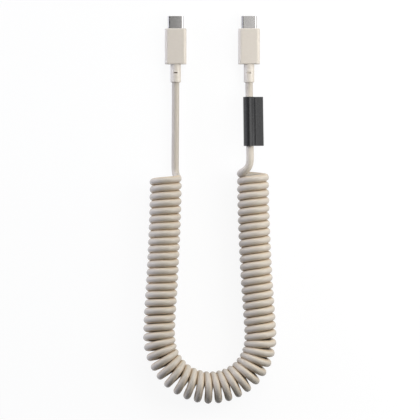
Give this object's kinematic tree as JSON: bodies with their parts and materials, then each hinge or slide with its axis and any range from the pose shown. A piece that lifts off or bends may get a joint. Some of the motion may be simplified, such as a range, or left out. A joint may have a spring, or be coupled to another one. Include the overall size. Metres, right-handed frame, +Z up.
{
  "type": "usb-c cable",
  "caption": "Curly sand-coloured USB-C to USB-C cable laid in a U, with a plug and straight lead at each end and a black folded flag label on one lead.",
  "frame": {"origin": "on the surface that the cable lies on, midway between the two plugs and midway along them", "axes": "+X from plug A to plug B, +Y out of the plugs' mouths, +Z up from the surface"},
  "size_m": [0.0703, 0.2042, 0.0169],
  "materials": {
    "drawn_steel": "satin",
    "carrier_plastic": "matte",
    "gold_plate": "bright",
    "spring_steel": "satin",
    "circuit_board": "satin",
    "can_steel": "satin",
    "red_insulation": "satin",
    "blue_insulation": "satin",
    "black_insulation": "satin",
    "white_insulation": "satin",
    "green_insulation": "satin",
    "housing_plastic": "fine matte",
    "relief_plastic": "fine matte",
    "cord_jacket": "soft matte",
    "label_rubber": "soft matte"
  },
  "bodies": {
    "root": {"plug_a_shell": "drawn_steel", "plug_a_contact_carrier": "carrier_plastic", "plug_a_upper_contacts": "gold_plate", "plug_a_lower_contacts": "gold_plate", "plug_a_latch_spring": "spring_steel", "plug_a_upper_ground_spring": "spring_steel", "plug_a_lower_ground_spring": "spring_steel", "plug_a_paddle_card": "circuit_board", "plug_a_upper_shield_can": "can_steel", "plug_a_lower_shield_can": "can_steel", "plug_a_red_wire": "red_insulation", "plug_a_blue_wire": "blue_insulation", "plug_a_black_wire": "black_insulation", "plug_a_white_wire": "white_insulation", "plug_a_green_wire": "green_insulation", "plug_a_housing": "housing_plastic", "plug_a_strain_relief": "relief_plastic", "plug_b_shell": "drawn_steel", "plug_b_contact_carrier": "carrier_plastic", "plug_b_upper_contacts": "gold_plate", "plug_b_lower_contacts": "gold_plate", "plug_b_latch_spring": "spring_steel", "plug_b_upper_ground_spring": "spring_steel", "plug_b_lower_ground_spring": "spring_steel", "plug_b_paddle_card": "circuit_board", "plug_b_upper_shield_can": "can_steel", "plug_b_lower_shield_can": "can_steel", "plug_b_red_wire": "red_insulation", "plug_b_blue_wire": "blue_insulation", "plug_b_black_wire": "black_insulation", "plug_b_white_wire": "white_insulation", "plug_b_green_wire": "green_insulation", "plug_b_housing": "housing_plastic", "plug_b_strain_relief": "relief_plastic", "lead_a": "cord_jacket", "curly_cord": "cord_jacket", "lead_b": "cord_jacket", "flag_label": "label_rubber"}
  },
  "joints": []
}
